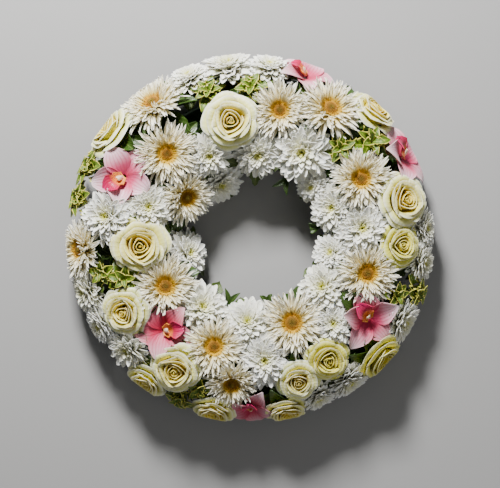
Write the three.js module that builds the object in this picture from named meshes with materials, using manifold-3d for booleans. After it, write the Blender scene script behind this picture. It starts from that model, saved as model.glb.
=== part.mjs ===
// A round funeral wreath: fresh flowers and leafy stems pushed into a ring of floral foam that sits
// in a shallow plastic tray. Millimetres, +Z up. The origin is on the ring's axis, at the tray's
// flat underside. A bearing is counted anticlockwise from +X, and a reach is the distance from the axis.
import * as THREE from 'three';
import { mergeVertices } from 'three/addons/utils/BufferGeometryUtils.js';
import Module from 'manifold-3d';

const wasm = await Module();
wasm.setup();

// The ring that carries the flowers
const RING_REACH = 143;
const RING_SEGMENTS = 30;
const FOAM_HALF_WIDTH = 28;
const FOAM_TOP = 36;
const FOAM_SHOULDER = 12;
const TRAY_FLOOR = 2;
const TRAY_WALL = 1.5;
const TRAY_RIM = 12;
const SEAT_GAP = 0.3;
const FOAM_MIDDLE = 19;

// The cushion of flowers: the hearts of the blooms lie on a flattened tube round the ring
const CUSHION_MIDDLE = 26;
const CUSHION_RISE = 45;
const OUTER_SPREAD = 66;
const INNER_SPREAD = 64;
const STEEPEST = 0.97;
const FURTHEST_REACH = 203;
const OUTER_FACING = 0.88;
const INNER_FACING = 0.6;
const OUTER_LIMIT = 219.5;
const OPENING_MIDDLE = { x: 11, y: -6 };
const OPENING_RADIUS = 62;
const TOP_LIMIT = 108;
const FLOOR_LIMIT = 1;
const FOAM_CLEARANCE = 3;

// Petals are longer than a bloom's share of the cushion, and neighbours bend clear of each other
const PETAL_REACH = 1.6;
const BLOOM_GAP = 0.5;
const FREE_SHARE = 0.66;
const CROWDED_RISE = 0.2;

// Blooms that stand too close push each other along the cushion until each has room
const ROOM_SHARE = 0.84;
const JOSTLE_ROUNDS = 60;
const JOSTLE_STEP = 0.3;
const JOSTLE_LIMIT = 14;
const INWARD_LIMIT = 5;

// Stems and their plain holes in the foam
const STEM_SIDES = 4;
const STEM_END = 12;
const HOLE_CLEARANCE = 0.35;
const FORK_HEIGHT = 9;
const STEM_RADIUS = { gerbera: 2.4, rose: 2.6, orchid: 2, chrysanthemum: 2, leaf: 1.6 };

const FULL_TURN = 2 * Math.PI;
const UP = new THREE.Vector3(0, 0, 1);

// Each row is a bloom: bearing in degrees, reach and petal radius in millimetres, and how far it
// looks away from the cushion's own slope, in degrees outward
const GERBERAS = [
  [122, 184, 39, 6], [132, 138, 35, -6], [153, 98, 32, -4], [183, 185, 34, 0],
  [216, 121, 36, 4], [257, 140, 35, -4], [258, 180, 30, 6], [297, 117, 38, 6],
  [338, 156, 35, 4], [32, 139, 35, 0], [76, 154, 33, -8], [58, 181, 38, 2],
];
const ROSES = [
  [[105, 153, 33, 0]], [[144, 188, 33, 6]], [[186, 136, 34, 0]], [[206, 181, 30, 4]],
  [[240, 180, 31, 0]], [[235, 214, 27, 0]], [[255, 209, 27, 0]],
  [[280, 204, 26, 4], [290, 187, 26, 0]], [[303, 167, 26, 0], [314, 194, 31, 4]],
  [[353, 183, 26, 0]], [[12, 182, 33, 0]], [[47, 203, 30, 0]],
];
const ORCHIDS = [
  [159, 164, 34, -8], [71, 197, 30, 0], [27, 194, 34, 0],
  [230, 154, 31, 0], [326, 176, 33, 0], [271, 186, 26, 0],
];
const CHRYSANTHEMUM_SPRAYS = [
  { heads: [[110, 208, 26, 0], [94, 192, 33, 0], [80, 211, 25, 0]] },
  { heads: [[129, 82, 27, 0], [112, 104, 25, 0], [87, 103, 27, 0]], blades: [[59, 84, 15]] },
  { heads: [[57, 123, 35, 0], [32, 100, 19, 0], [20, 109, 27, 0]], blades: [[10, 84, 15]] },
  { heads: [[358, 118, 31, 0], [342, 103, 23, 0], [323, 109, 30, 0], [319, 151, 25, 0]] },
  { heads: [[267, 106, 30, 0], [279, 157, 30, 0]], blades: [[283, 86, 14]] },
  { heads: [[195, 82, 28, 0], [234, 107, 30, 0]], blades: [[249, 86, 14]] },
  { heads: [[165, 131, 27, 0], [174, 179, 33, 0]] },
  { heads: [[197, 211, 27, 0], [208, 215, 27, 0], [219, 187, 28, 0]] },
  { heads: [[303, 194, 28, 0], [292, 212, 24, 0]] },
  { heads: [[331, 206, 29, 0], [348, 209, 25, 0], [0, 209, 26, 0]] },
];
const LEAFY_STEMS = [
  [[159, 203, 25], [168, 207, 23]],
  [[107, 186, 19], [86, 171, 20]],
  [[39, 171, 23], [44, 148, 18]],
  [[341, 200, 20], [340, 178, 17]],
  [[193, 163, 20], [196, 186, 17]],
  [[243, 207, 20], [250, 199, 17]],
];

const COLOURS = {
  white: { color: 0xf2f1e8, roughness: 0.7 },
  cream: { color: 0xf3ecc9, roughness: 0.7 },
  rose: { color: 0xf3edc0, roughness: 0.65 },
  pink: { color: 0xdc8f98, roughness: 0.6 },
  yellow: { color: 0xd9a227, roughness: 0.85 },
  leaf: { color: 0x7d9448, roughness: 0.55 },
  foam: { color: 0x3f6b3a, roughness: 0.95 },
  tray: { color: 0x24402a, roughness: 0.45 },
};
const materials = {};
for (const [name, look] of Object.entries(COLOURS)) {
  materials[name] = new THREE.MeshStandardMaterial({ ...look, metalness: 0, side: THREE.DoubleSide });
}

const wreath = new THREE.Group();

// A repeatable source of small natural differences
function seeded(seed) {
  let state = (seed * 7919 + 104729) >>> 0;
  return () => {
    state = (Math.imul(state, 1664525) + 1013904223) >>> 0;
    return state / 4294967296;
  };
}

function polar(bearing, reach, height) {
  const turn = THREE.MathUtils.degToRad(bearing);
  return new THREE.Vector3(reach * Math.cos(turn), reach * Math.sin(turn), height);
}

function solidOf(geometry) {
  const bare = geometry.clone();
  bare.deleteAttribute('normal');
  bare.deleteAttribute('uv');
  const merged = mergeVertices(bare, 1e-4);
  return new wasm.Manifold(new wasm.Mesh({
    numProp: 3,
    vertProperties: new Float32Array(merged.attributes.position.array),
    triVerts: new Uint32Array(merged.index.array),
  }));
}

function geometryOf(solid) {
  const mesh = solid.getMesh();
  const geometry = new THREE.BufferGeometry();
  geometry.setAttribute('position', new THREE.BufferAttribute(new Float32Array(mesh.vertProperties), 3));
  geometry.setIndex(new THREE.BufferAttribute(new Uint32Array(mesh.triVerts), 1));
  geometry.computeVertexNormals();
  return geometry;
}

function addNode(name, solid, material) {
  const mesh = new THREE.Mesh(geometryOf(solid), materials[material]);
  mesh.name = name;
  wreath.add(mesh);
}

// Where a bloom's heart lies on the cushion, and which way it faces
function makeSite([bearing, reach, radius, lean = 0]) {
  const spread = reach > RING_REACH ? OUTER_SPREAD : INNER_SPREAD;
  const share = THREE.MathUtils.clamp((reach - RING_REACH) / spread, -STEEPEST, STEEPEST);
  const slope = Math.asin(share);
  const out = polar(bearing, 1, 0);
  const side = new THREE.Vector3().crossVectors(UP, out);
  const heart = polar(bearing, reach, CUSHION_MIDDLE + CUSHION_RISE * Math.cos(slope));
  const facing = slope * (share > 0 ? OUTER_FACING : INNER_FACING) + THREE.MathUtils.degToRad(lean);
  const axis = out.clone().multiplyScalar(Math.sin(facing)).addScaledVector(UP, Math.cos(facing));
  const across = new THREE.Vector3().crossVectors(side, axis);
  const ring = polar(bearing, RING_REACH, FOAM_MIDDLE);
  const rise = heart.clone().sub(ring).normalize();
  return { bearing, reach, radius, lean, slope, out, heart, axis, across, side, ring, rise, walls: [] };
}

// Moves the sites apart along the cushion, none of them far from where it was set
function jostle(rows) {
  let sites = rows.map(makeSite);
  const start = sites.map(({ bearing, reach }) => ({ bearing, reach }));
  for (let round = 0; round < JOSTLE_ROUNDS; round += 1) {
    sites = sites.map((site, i) => {
      const push = new THREE.Vector3();
      for (const other of sites) {
        const apart = site.heart.clone().sub(other.heart);
        const lack = ROOM_SHARE * (site.radius + other.radius) - apart.length();
        if (other !== site && lack > 0) push.addScaledVector(apart.normalize(), lack * JOSTLE_STEP);
      }
      const along = THREE.MathUtils.radToDeg(push.dot(site.side) / site.reach);
      const outward = push.dot(site.out) * Math.cos(site.slope) - push.z * Math.sin(site.slope);
      const swing = THREE.MathUtils.radToDeg(JOSTLE_LIMIT / start[i].reach);
      const bearing = THREE.MathUtils.clamp(site.bearing + along, start[i].bearing - swing, start[i].bearing + swing);
      const reach = THREE.MathUtils.clamp(
        site.reach + outward,
        Math.min(start[i].reach, FURTHEST_REACH) - (start[i].reach < RING_REACH ? INWARD_LIMIT : JOSTLE_LIMIT),
        Math.min(start[i].reach + JOSTLE_LIMIT, FURTHEST_REACH),
      );
      return makeSite([bearing, reach, site.radius, site.lean]);
    });
  }
  return sites;
}

// How far the foam reaches from the middle of its section towards a side
function foamSupport(rise, out) {
  const level = rise.dot(out) * FOAM_HALF_WIDTH;
  const upright = rise.z * (FOAM_TOP - FOAM_MIDDLE);
  return Math.hypot(level, upright);
}

// Every bloom keeps to its own room: flat walls halfway to its neighbours, in the proportion of
// their sizes, and walls at the foam, the surface below, the wreath's outer edge and its opening
function raiseWalls(sites) {
  for (const site of sites) {
    for (const other of sites) {
      if (other === site) continue;
      const towards = other.heart.clone().sub(site.heart);
      const distance = towards.length();
      if (distance > 1.4 * (site.radius + other.radius)) continue;
      const normal = towards.divideScalar(distance);
      const share = site.radius / (site.radius + other.radius);
      const limit = distance * share - BLOOM_GAP / 2;
      site.walls.push({ normal, limit });
    }
    const foamFace = site.ring.clone()
      .addScaledVector(site.rise, foamSupport(site.rise, site.out) + FOAM_CLEARANCE);
    const inward = new THREE.Vector3(OPENING_MIDDLE.x - site.heart.x, OPENING_MIDDLE.y - site.heart.y, 0).normalize();
    const openingEdge = new THREE.Vector3(OPENING_MIDDLE.x, OPENING_MIDDLE.y, 0)
      .addScaledVector(inward, -OPENING_RADIUS);
    const bounds = [
      [inward, openingEdge],
      [site.rise.clone().negate(), foamFace],
      [site.out, polar(site.bearing, OUTER_LIMIT, 0)],
      [UP, new THREE.Vector3(0, 0, TOP_LIMIT)],
      [UP.clone().negate(), new THREE.Vector3(0, 0, FLOOR_LIMIT)],
    ];
    for (const [normal, point] of bounds) {
      site.walls.push({ normal, limit: point.clone().sub(site.heart).dot(normal) });
    }
  }
}

// The share of the way from the heart to the nearest wall in a direction
function fullness(site, offset) {
  let share = 1e-6;
  for (const { normal, limit } of site.walls) {
    share = Math.max(share, offset.dot(normal) / limit);
  }
  return share;
}

// An offset from a heart, drawn in ever more as it nears the walls and never reaching them
function drawIn(site, offset) {
  const share = fullness(site, offset);
  if (share <= FREE_SHARE) return offset;
  const rest = 1 - FREE_SHARE;
  const kept = FREE_SHARE + rest * (1 - Math.exp((FREE_SHARE - share) / rest));
  return offset.multiplyScalar(kept / share);
}

// A bloom's own point, brought into the wreath: crowded petals are drawn in and turn up
function settle(site, [angle, radius, height]) {
  const direction = site.across.clone().multiplyScalar(Math.cos(angle + site.turn))
    .addScaledVector(site.side, Math.sin(angle + site.turn));
  const crowding = THREE.MathUtils.clamp(fullness(site, direction) * site.radius - 0.8, 0, 0.8);
  const rise = crowding * CROWDED_RISE * radius * radius / site.radius;
  const offset = direction.multiplyScalar(radius).addScaledVector(site.axis, height + rise);
  return { angle, place: site.heart.clone().add(drawIn(site, offset)) };
}

// A square ring round a stem that runs down a direction
function stemRing(site, place, downward, radius) {
  const first = site.across.clone().addScaledVector(downward, -site.across.dot(downward)).normalize();
  const second = new THREE.Vector3().crossVectors(first, downward);
  return Array.from({ length: STEM_SIDES }, (_, i) => {
    const angle = FULL_TURN * i / STEM_SIDES;
    const corner = place.clone().addScaledVector(first, radius * Math.cos(angle + site.turn))
      .addScaledVector(second, radius * Math.sin(angle + site.turn));
    return { angle, place: corner };
  });
}

// The rings of a stem along its stops, from the first to the last
function stemRings(site, stops, radius) {
  return stops.map((stop, i) => {
    const leg = Math.min(i, stops.length - 2);
    return stemRing(site, stop, stops[leg + 1].clone().sub(stops[leg]).normalize(), radius);
  });
}

// One closed skin drawn through rings of points, from its top point to its bottom one
function skin(top, rings, bottom) {
  const points = [];
  const faces = [];
  const keep = (place) => points.push(...place.toArray()) / 3 - 1;
  const laid = rings.map((ring) => ring.map(({ angle, place }) => ({ angle, index: keep(place) })));
  const at = (ring, i) => ring[i % ring.length].index;
  const angleAt = (ring, i) => ring[i % ring.length].angle + FULL_TURN * Math.floor(i / ring.length);
  const crown = keep(top);
  const base = keep(bottom);
  laid[0].forEach((_, i) => faces.push(crown, at(laid[0], i), at(laid[0], i + 1)));
  const last = laid[laid.length - 1];
  last.forEach((_, i) => faces.push(base, at(last, i + 1), at(last, i)));
  for (let level = 1; level < laid.length; level += 1) {
    const upper = laid[level - 1];
    const lower = laid[level];
    let i = 0;
    let j = 0;
    while (i < upper.length || j < lower.length) {
      const upperTurn = angleAt(upper, i) + angleAt(upper, i + 1);
      const lowerTurn = angleAt(lower, j) + angleAt(lower, j + 1);
      if (j >= lower.length || (i < upper.length && upperTurn <= lowerTurn + 1e-9)) {
        faces.push(at(upper, i), at(lower, j), at(upper, i + 1));
        i += 1;
      } else {
        faces.push(at(upper, i), at(lower, j), at(lower, j + 1));
        j += 1;
      }
    }
  }
  const geometry = new THREE.BufferGeometry();
  geometry.setAttribute('position', new THREE.Float32BufferAttribute(points, 3));
  geometry.setIndex(faces);
  return solidOf(geometry);
}

// A head and the stem below it in one skin: the head's own rings, then the stem along its stops
function headOnStem(site, crown, rings, stops, radius) {
  const headRings = rings.map((ring) => ring.map((point) => settle(site, point)));
  const top = settle(site, [0, 0, crown]).place;
  return skin(top, [...headRings, ...stemRings(site, stops, radius)], stops[stops.length - 1]);
}

// A plain ring of points on a head
function hub(count, radius, height, phase = 0) {
  return Array.from({ length: count }, (_, i) => [FULL_TURN * (i + phase) / count, radius, height]);
}

// The edge of a layer of petals: in to the notch between two, out along the shoulders to each tip
function petalEdge({ count, phase, notch, shoulders = [], tip, random, spread = 0.06 }) {
  const edge = [];
  const half = Math.PI / count;
  for (let i = 0; i < count; i += 1) {
    const middle = FULL_TURN * (i + phase) / count;
    const length = 1 + spread * (2 * random() - 1);
    const droop = 0.5 * spread * tip[0] * (2 * random() - 1);
    edge.push([middle - half, notch[0], notch[1]]);
    for (const [radius, width, height] of shoulders) edge.push([middle - half * width, radius * length, height]);
    edge.push([middle, tip[0] * length, tip[1] + droop]);
    for (const [radius, width, height] of [...shoulders].reverse()) {
      edge.push([middle + half * width, radius * length, height]);
    }
  }
  return edge;
}

// A spider gerbera's head: three layers of narrow rays round a flat seat for the eye
const EYE_SHARE = 0.25;
function gerberaHead(site, random, stops) {
  const r = site.radius;
  const seat = r * EYE_SHARE;
  const rings = [
    hub(10, seat, 0),
    petalEdge({ count: 10, phase: 0, notch: [seat * 1.3, 0.2], tip: [0.76 * r, 0.3 * r], random }),
    hub(12, seat, -2.2, 0.5),
    petalEdge({ count: 12, phase: 0.5, notch: [seat * 1.6, -1.8], tip: [1.12 * r, 0.18 * r], random }),
    hub(12, seat, -4.6),
    petalEdge({
      count: 12, phase: 0, notch: [seat * 1.9, -4.2], shoulders: [[0.98 * r, 0.5, -1]],
      tip: [PETAL_REACH * r, 0.02 * r], random,
    }),
    hub(12, seat * 0.8, -7.2),
  ];
  return headOnStem(site, 0, rings, stops, STEM_RADIUS.gerbera);
}

// The eye of a gerbera: a low ribbed cushion of florets
function gerberaEye(site) {
  const r = site.radius * EYE_SHARE;
  const rings = [hub(5, r * 0.5, 4), hub(7, r * 0.96, 1.8, 0.5), hub(7, r * 0.9, SEAT_GAP, 0.5)];
  const settled = rings.map((ring) => ring.map((point) => settle(site, point)));
  return skin(settle(site, [0, 0, 3.2]).place, settled, settle(site, [0, 0, SEAT_GAP]).place);
}

// A double chrysanthemum's head: three layers of petals, the outer ones broad
const SMALL_HEAD = 26;
function chrysanthemumHead(site, random, stops) {
  const r = site.radius;
  const small = r < SMALL_HEAD;
  const outer = small ? 6 : 8;
  const middle = small ? 6 : 7;
  const rings = [
    hub(5, 0.12 * r, 0.3 * r),
    petalEdge({ count: 5, phase: 0, notch: [0.22 * r, 0.22 * r], tip: [0.46 * r, 0.5 * r], random }),
    hub(middle, 0.2 * r, 0.08 * r),
    petalEdge({ count: middle, phase: 0, notch: [0.44 * r, 0.13 * r], tip: [0.95 * r, 0.36 * r], random }),
    hub(outer, 0.26 * r, -0.08 * r, 0.5),
    petalEdge({
      count: outer, phase: 0.5, notch: [0.6 * r, -0.06 * r], shoulders: [[1.05 * r, 0.66, 0]],
      tip: [PETAL_REACH * r, 0.04 * r], random,
    }),
    hub(outer, 0.2 * r, -0.26 * r, 0.5),
  ];
  return headOnStem(site, 0.32 * r, rings, stops, STEM_RADIUS.chrysanthemum);
}

// A rose's head: petals wrapped round the heart in five layers, the outer ones turned back
const ROSE_SIDES = 9;
function roseRing(radius, height, petals, phase, lobe) {
  return Array.from({ length: ROSE_SIDES }, (_, i) => {
    const angle = FULL_TURN * i / ROSE_SIDES;
    const wave = Math.cos(petals * (angle - phase));
    return [angle, radius * (1 + lobe * wave), height + radius * 0.5 * lobe * wave];
  });
}
function roseHead(site, random, stops) {
  const r = site.radius;
  const phase = () => FULL_TURN * random();
  const rings = [
    roseRing(0.1 * r, 0.58 * r, 2, phase(), 0.3),
    roseRing(0.17 * r, 0.36 * r, 3, phase(), 0.1),
    roseRing(0.27 * r, 0.6 * r, 3, phase(), 0.16),
    roseRing(0.36 * r, 0.28 * r, 3, phase(), 0.08),
    roseRing(0.54 * r, 0.58 * r, 4, phase(), 0.1),
    roseRing(0.54 * r, 0.18 * r, 4, phase(), 0.04),
    roseRing(0.88 * r, 0.42 * r, 4, phase(), 0.1),
    roseRing(0.68 * r, 0, 5, phase(), 0.04),
    roseRing(0.95 * PETAL_REACH * r, 0.1 * r, 5, phase(), 0.08),
    hub(ROSE_SIDES, 0.5 * r, -0.44 * r),
  ];
  return headOnStem(site, 0.5 * r, rings, stops, STEM_RADIUS.rose);
}

// A cymbidium orchid: five broad tepals, and a ruffled lip in the middle
function orchidHead(site, random, stops) {
  const r = site.radius;
  const tepals = headOnStem(site, 0.08 * r, [
    hub(5, 0.14 * r, 0.06 * r),
    petalEdge({
      count: 5, phase: 0, notch: [0.24 * r, 0], shoulders: [[0.62 * r, 0.78, 0.02 * r], [1.1 * r, 0.56, 0.1 * r]],
      tip: [PETAL_REACH * r, 0.2 * r], random,
    }),
    hub(5, 0.12 * r, -0.1 * r),
  ], stops, STEM_RADIUS.orchid);
  const lipEdge = Array.from({ length: 10 }, (_, i) => {
    const ruffle = i % 2 ? 1 : 0.8;
    return settle(site, [FULL_TURN * i / 10, 0.34 * r * ruffle, (0.34 + 0.06 * (i % 2)) * r]);
  });
  const throat = hub(5, 0.1 * r, 0.02 * r).map((point) => settle(site, point));
  const lip = skin(settle(site, [0, 0, 0.2 * r]).place, [lipEdge, throat], site.heart);
  return tepals.add(lip);
}

// A leaf from its base along a direction, with a waved edge and a raised rib
const LEAF_WAVES = [[0.3, 0.6, -1], [0.55, 1, 1], [0.8, 0.66, -1]];
const LEAF_THICKNESS = 1.5;
function leafBlade(site, from, direction, length, width, random) {
  const along = direction.clone().normalize();
  const flat = new THREE.Vector3().crossVectors(along, site.axis);
  if (flat.length() < 0.2) flat.copy(site.side);
  flat.normalize();
  const face = new THREE.Vector3().crossVectors(flat, along);
  const wave = () => 0.6 + 0.5 * random();
  const outline = [
    [-0.02, 0, 0],
    ...LEAF_WAVES.map(([share, wide, height]) => [share, wide, height * wave()]),
    [1, 0, -0.12 * length],
    ...[...LEAF_WAVES].reverse().map(([share, wide, height]) => [share - 0.08, -wide, -height * wave()]),
    [0.45, 0, LEAF_THICKNESS],
    [0.45, 0, 0],
  ];
  const points = outline.flatMap(([share, wide, height]) => {
    const place = from.clone().addScaledVector(along, share * length)
      .addScaledVector(flat, wide * width / 2).addScaledVector(face, height);
    return drawIn(site, place.sub(site.heart)).add(site.heart).toArray();
  });
  const count = outline.length - 2;
  const faces = [];
  for (let i = 0; i < count; i += 1) {
    faces.push(count, i, (i + 1) % count);
    faces.push(count + 1, (i + 1) % count, i);
  }
  const geometry = new THREE.BufferGeometry();
  geometry.setAttribute('position', new THREE.Float32BufferAttribute(points, 3));
  geometry.setIndex(faces);
  return solidOf(geometry);
}

// The top of a leafy shoot: leaves set in turn round the stem's end
const SHOOT_LEAVES = 4;
function shootHead(site, random, stops) {
  const [neck] = stops;
  const top = site.heart.clone().addScaledVector(site.axis, 0.35 * site.radius);
  let shoot = skin(top, stemRings(site, [top, ...stops], STEM_RADIUS.leaf), stops[stops.length - 1]);
  for (let i = 0; i < SHOOT_LEAVES; i += 1) {
    const turn = FULL_TURN * (i * 0.382 + 0.06 * random());
    const share = i / (SHOOT_LEAVES - 1);
    const direction = site.across.clone().multiplyScalar(Math.cos(turn))
      .addScaledVector(site.side, Math.sin(turn)).addScaledVector(site.axis, 0.2 + 0.7 * share);
    const from = neck.clone().lerp(top, 0.3 + 0.62 * share);
    const length = site.radius * (1.9 - 0.5 * share);
    shoot = shoot.add(leafBlade(site, from, direction, length, 0.62 * length, random));
  }
  return shoot;
}

// Two dark pointed leaves that a spray holds into the wreath's opening
const BLADE_SWINGS = [-0.5, 0.45];
function bladeHead(site, random, stops) {
  const top = site.heart.clone();
  let blades = skin(top, stemRings(site, [top, ...stops], STEM_RADIUS.leaf), stops[stops.length - 1]);
  for (const swing of BLADE_SWINGS) {
    const direction = site.out.clone().negate().addScaledVector(site.side, swing).addScaledVector(UP, 0.25);
    const from = site.heart.clone().addScaledVector(site.rise, -STEM_RADIUS.leaf);
    blades = blades.add(leafBlade(site, from, direction, 1.5 * site.radius, 0.5 * site.radius, random));
  }
  return blades;
}

const HEADS = {
  gerbera: gerberaHead, rose: roseHead, orchid: orchidHead, chrysanthemum: chrysanthemumHead,
  leaf: shootHead, blade: bladeHead,
};
const NECK = { gerbera: 13, rose: 17, orchid: 8, chrysanthemum: 10, leaf: 9, blade: 7 };

const holes = [];

// One plant: its heads on branches that meet in a fork, and a stem whose foot is in a hole in the foam
function growPlant(kind, sites) {
  const thick = STEM_RADIUS[kind];
  const necks = sites.map((site) => site.heart.clone().addScaledVector(site.axis, -NECK[site.kind]));
  const forked = sites.length > 1;
  let { ring } = sites[0];
  let fork = necks[0];
  if (forked) {
    const middle = necks.reduce((sum, neck) => sum.add(neck), new THREE.Vector3()).divideScalar(necks.length);
    const bearing = THREE.MathUtils.radToDeg(Math.atan2(middle.y, middle.x));
    ring = polar(bearing, RING_REACH, FOAM_MIDDLE);
    const rise = middle.clone().sub(ring).normalize();
    fork = ring.clone().addScaledVector(rise, foamSupport(rise, polar(bearing, 1, 0)) + FORK_HEIGHT);
  }
  const downward = ring.clone().sub(fork).normalize();
  const foot = ring.clone().addScaledVector(downward, -STEM_END);
  const holeEnd = foot.clone().addScaledVector(downward, HOLE_CLEARANCE);
  holes.push(skin(fork, stemRings(sites[0], [fork, holeEnd], thick + HOLE_CLEARANCE), holeEnd));
  return sites.map((site, i) => {
    const stops = forked ? [necks[i], fork] : [necks[i]];
    if (i === 0) stops.push(foot);
    return HEADS[site.kind](site, site.random, stops);
  }).reduce((whole, head) => whole.add(head));
}

// All sites are known before any head is made, since each head bends clear of its neighbours
const plants = [];
function plan(kind, rows, blades = []) {
  const kinds = [...rows.map(() => kind), ...blades.map(() => 'blade')];
  plants.push({ kind, kinds, rows: [...rows, ...blades] });
}
GERBERAS.forEach((row) => plan('gerbera', [row]));
ROSES.forEach((rows) => plan('rose', rows));
ORCHIDS.forEach((row) => plan('orchid', [row]));
CHRYSANTHEMUM_SPRAYS.forEach(({ heads, blades }) => plan('chrysanthemum', heads, blades));
LEAFY_STEMS.forEach((rows) => plan('leaf', rows));
const allSites = jostle(plants.flatMap(({ rows }) => rows));
raiseWalls(allSites);
let placed = 0;
for (const plant of plants) {
  plant.sites = plant.kinds.map((kind, i) => {
    const random = seeded(placed + i + 1);
    return { ...allSites[placed + i], kind, random, turn: FULL_TURN * random() };
  });
  placed += plant.sites.length;
}

const NODE_NAMES = {
  gerbera: 'gerbera', rose: 'rose_stem', orchid: 'orchid', chrysanthemum: 'chrysanthemum_spray', leaf: 'leafy_stem',
};
const NODE_MATERIALS = { gerbera: 'cream', rose: 'rose', orchid: 'pink', chrysanthemum: 'white', leaf: 'leaf' };
const counts = {};
plants.forEach(({ kind, sites }) => {
  counts[kind] = (counts[kind] ?? 0) + 1;
  const number = String(counts[kind]).padStart(2, '0');
  addNode(`${NODE_NAMES[kind]}_${number}`, growPlant(kind, sites), NODE_MATERIALS[kind]);
  if (kind === 'gerbera') addNode(`gerbera_eye_${number}`, gerberaEye(sites[0]), 'yellow');
});

// A ring turned round the axis from a closed outline of reach and height
function turnedRing(outline) {
  const points = outline.map(([reach, height]) => new THREE.Vector2(reach, height));
  points.push(points[0].clone());
  return solidOf(new THREE.LatheGeometry(points, RING_SEGMENTS).rotateX(Math.PI / 2));
}

// The foam ring, with a rounded top and a hole for each stem
function foamRing() {
  const low = TRAY_FLOOR + SEAT_GAP;
  const inner = RING_REACH - FOAM_HALF_WIDTH;
  const outer = RING_REACH + FOAM_HALF_WIDTH;
  const bevel = FOAM_SHOULDER * 0.3;
  const block = turnedRing([
    [inner, low],
    [outer, low],
    [outer, FOAM_TOP - FOAM_SHOULDER],
    [outer - bevel, FOAM_TOP - bevel],
    [outer - FOAM_SHOULDER, FOAM_TOP],
    [inner + FOAM_SHOULDER, FOAM_TOP],
    [inner + bevel, FOAM_TOP - bevel],
    [inner, FOAM_TOP - FOAM_SHOULDER],
  ]);
  return holes.reduce((ring, hole) => ring.subtract(hole), block);
}

// The tray: a shallow channel all round, flat underneath
function tray() {
  const inner = RING_REACH - FOAM_HALF_WIDTH - SEAT_GAP;
  const outer = RING_REACH + FOAM_HALF_WIDTH + SEAT_GAP;
  return turnedRing([
    [inner - TRAY_WALL, 0],
    [outer + TRAY_WALL, 0],
    [outer + TRAY_WALL, TRAY_RIM],
    [outer, TRAY_RIM],
    [outer, TRAY_FLOOR],
    [inner, TRAY_FLOOR],
    [inner, TRAY_RIM],
    [inner - TRAY_WALL, TRAY_RIM],
  ]);
}

addNode('foam_ring', foamRing(), 'foam');
addNode('tray', tray(), 'tray');

export default wreath;
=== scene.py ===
# A round funeral wreath of fresh flowers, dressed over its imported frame. Metres, +Z up, with the
# wreath lying flat and its axis on the origin, as the frame has it.
import math
import random
from types import SimpleNamespace

import bmesh
import bpy
import numpy as np
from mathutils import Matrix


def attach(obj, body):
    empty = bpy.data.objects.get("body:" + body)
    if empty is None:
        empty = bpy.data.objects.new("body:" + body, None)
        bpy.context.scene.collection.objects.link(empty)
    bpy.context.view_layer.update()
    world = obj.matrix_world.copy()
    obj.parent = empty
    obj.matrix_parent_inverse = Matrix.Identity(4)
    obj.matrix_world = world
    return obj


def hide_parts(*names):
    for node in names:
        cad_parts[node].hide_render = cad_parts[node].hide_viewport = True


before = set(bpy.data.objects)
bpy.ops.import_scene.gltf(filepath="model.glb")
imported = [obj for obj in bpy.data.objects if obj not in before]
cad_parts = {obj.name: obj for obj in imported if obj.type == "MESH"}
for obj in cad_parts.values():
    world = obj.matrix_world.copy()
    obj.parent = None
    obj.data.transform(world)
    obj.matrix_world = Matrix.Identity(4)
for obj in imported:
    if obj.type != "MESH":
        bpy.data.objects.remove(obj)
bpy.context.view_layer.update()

# Tray. A shallow channel moulded in dark green plastic, which holds the foam and its water. It is
# the CAD node itself, and only its finish is made here: a faint pebble and water marks.
def new_finish(name):
    finish = bpy.data.materials.new(name)
    finish.use_nodes = True
    return finish, finish.node_tree, finish.node_tree.nodes["Principled BSDF"]


def plug(socket, value):
    """Gives an input a value of its own, or the output that feeds it."""
    if isinstance(value, bpy.types.NodeSocket):
        socket.id_data.links.new(value, socket)
    else:
        socket.default_value = value


def feed(node, **inputs):
    """Fills a node's inputs by their names, with a low line in place of each space."""
    for name, value in inputs.items():
        plug(node.inputs[name.replace("_", " ")], value)


def add_node(tree, kind, **settings):
    """A shader node with its own settings, and its inputs filled."""
    node = tree.nodes.new("ShaderNode" + kind)
    for name, value in settings.items():
        if hasattr(node, name):
            setattr(node, name, value)
        else:
            feed(node, **{name: value})
    return node


def noise(tree, place, scale, detail, **settings):
    return add_node(tree, "TexNoise", Vector=place, Scale=scale, Detail=detail, **settings).outputs["Fac"]


def bump(tree, height, strength, distance):
    return add_node(tree, "Bump", Height=height, Strength=strength, Distance=distance).outputs["Normal"]


def colour_steps(tree, value, *stops):
    """A colour that passes through the stops as the value rises."""
    ramp = add_node(tree, "ValToRGB", Fac=value)
    while len(ramp.color_ramp.elements) < len(stops):
        ramp.color_ramp.elements.new(0.5)
    for element, (at, colour) in zip(ramp.color_ramp.elements, stops):
        element.position = at
        element.color = (*colour, 1)
    return ramp.outputs["Color"]


def give_finish(name, finish):
    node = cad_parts[name]
    node.data.materials.clear()
    node.data.materials.append(finish)


tray_plastic, tree, shader = new_finish("tray_plastic")
place = add_node(tree, "TexCoord").outputs["Object"]
water_marks = noise(tree, place, 35.0, 6.0, Roughness=0.6)
mark_colour = colour_steps(tree, water_marks, (0.35, (0.012, 0.035, 0.016)), (0.7, (0.03, 0.06, 0.032)))
mark_gloss = add_node(tree, "MapRange", Value=water_marks, To_Min=0.32, To_Max=0.6).outputs["Result"]
pebble = noise(tree, place, 900.0, 2.0)
feed(shader, Base_Color=mark_colour, Roughness=mark_gloss, Normal=bump(tree, pebble, 0.25, 0.0003))
give_finish("tray", tray_plastic)

# Foam ring. Wet green floral foam with a plain hole for each stem, as the CAD node cuts it. The
# finish is open-celled and crumbly, and darker where water has soaked in. Each cell is darker
# towards its middle, which is painted shade in the hollow of the pore.
def mix_colours(tree, share, under, over, way="MIX"):
    mix = add_node(tree, "Mix", data_type="RGBA", blend_type=way, Factor=share, A=under, B=over)
    return mix.outputs["Result"]


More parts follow.
